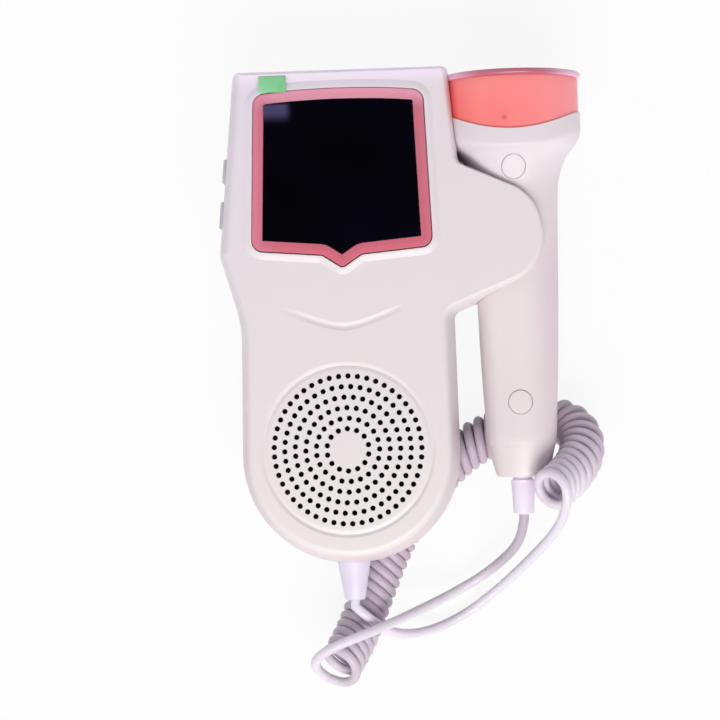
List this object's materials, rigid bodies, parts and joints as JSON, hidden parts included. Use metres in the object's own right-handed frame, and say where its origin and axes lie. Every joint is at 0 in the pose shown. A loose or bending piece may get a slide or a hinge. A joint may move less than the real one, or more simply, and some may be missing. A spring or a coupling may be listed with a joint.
{
  "type": "handheld fetal doppler",
  "caption": "Handheld fetal doppler: palm-sized unit with a dark screen, a round speaker grille and a side holster, an ultrasound probe in the holster, and a curly cord between them.",
  "frame": {"origin": "on the flat back of the hand unit, in the strip between the battery door and the screen end", "axes": "+Z out of the screen, +Y from the speaker end to the screen end, +X towards the probe's holster"},
  "size_m": [0.1091, 0.1771, 0.0417],
  "materials": {
    "front_shell": "fine satin, warm white with a lilac tint",
    "back_shell": "fine satin, warm white with a lilac tint",
    "window_trim": "smooth pink",
    "display_glass": "glossy near black window",
    "screen_film": "clear protective film",
    "film_tab": "green pull tab",
    "lcd_module": "dark panel",
    "speaker_gasket": "black foam",
    "speaker_frame": "pressed steel",
    "speaker_cone": "black cone",
    "speaker_magnet": "ferrite and plated steel",
    "power_button": "soft pale grey",
    "volume_button": "soft pale grey",
    "power_switch": "black",
    "volume_switch": "black",
    "main_board": "green circuit board",
    "battery_cell_left": "plain dark sleeve",
    "battery_cell_right": "plain dark sleeve",
    "battery_spring_plate": "nickel plated",
    "battery_contact_plate": "nickel plated",
    "battery_door": "fine satin, warm white with a lilac tint",
    "case_screw_1": "zinc plated",
    "case_screw_2": "zinc plated",
    "case_screw_3": "zinc plated",
    "case_screw_4": "zinc plated",
    "unit_boot": "soft lilac white",
    "probe_front_shell": "satin warm white",
    "probe_back_shell": "satin warm white",
    "probe_collar": "smooth coral",
    "probe_face": "milky mauve",
    "transmit_crystal": "silvered ceramic",
    "receive_crystal": "silvered ceramic",
    "probe_board": "green circuit board",
    "probe_tail_cap": "satin warm white",
    "probe_boot": "soft lilac white",
    "probe_plug_upper": "satin warm white",
    "probe_screw_upper": "zinc plated",
    "probe_plug_lower": "satin warm white",
    "probe_screw_lower": "zinc plated",
    "cord_coil": "smooth lilac white jacket",
    "cord_unit_lead": "smooth lilac white jacket",
    "cord_probe_lead": "smooth lilac white jacket"
  },
  "bodies": {
    "hand_unit": {"front_shell": "front_shell", "back_shell": "back_shell", "window_trim": "window_trim", "display_glass": "display_glass", "screen_film": "screen_film", "film_tab": "film_tab", "lcd_module": "lcd_module", "speaker_gasket": "speaker_gasket", "speaker_frame": "speaker_frame", "speaker_cone": "speaker_cone", "speaker_magnet": "speaker_magnet", "power_switch": "power_switch", "volume_switch": "volume_switch", "main_board": "main_board", "battery_cell_left": "battery_cell_left", "battery_cell_right": "battery_cell_right", "battery_spring_plate": "battery_spring_plate", "battery_contact_plate": "battery_contact_plate", "case_screw_1": "case_screw_1", "case_screw_2": "case_screw_2", "case_screw_3": "case_screw_3", "case_screw_4": "case_screw_4", "unit_boot": "unit_boot", "cord_coil": "cord_coil", "cord_unit_lead": "cord_unit_lead", "cord_probe_lead": "cord_probe_lead"},
    "probe": {"probe_front_shell": "probe_front_shell", "probe_back_shell": "probe_back_shell", "probe_collar": "probe_collar", "probe_face": "probe_face", "transmit_crystal": "transmit_crystal", "receive_crystal": "receive_crystal", "probe_board": "probe_board", "probe_tail_cap": "probe_tail_cap", "probe_boot": "probe_boot", "probe_plug_upper": "probe_plug_upper", "probe_screw_upper": "probe_screw_upper", "probe_plug_lower": "probe_plug_lower", "probe_screw_lower": "probe_screw_lower"},
    "power_key": {"power_button": "power_button"},
    "volume_key": {"volume_button": "volume_button"},
    "door": {"battery_door": "battery_door"}
  },
  "joints": [
    {"name": "probe_slide", "type": "slide", "parent": "hand_unit", "child": "probe", "axis": [0, 1, 0], "range_m": [0, 0.1]},
    {"name": "power_button_press", "type": "slide", "parent": "hand_unit", "child": "power_key", "axis": [0.9953, -0.0965, 0], "range_m": [0, 0.0006], "stiffness_N_per_m": 1500},
    {"name": "volume_button_press", "type": "slide", "parent": "hand_unit", "child": "volume_key", "axis": [0.9953, -0.0965, 0], "range_m": [0, 0.0006], "stiffness_N_per_m": 1500},
    {"name": "battery_door_slide", "type": "slide", "parent": "hand_unit", "child": "door", "axis": [0, -1, 0], "range_m": [0, 0.018]}
  ]
}
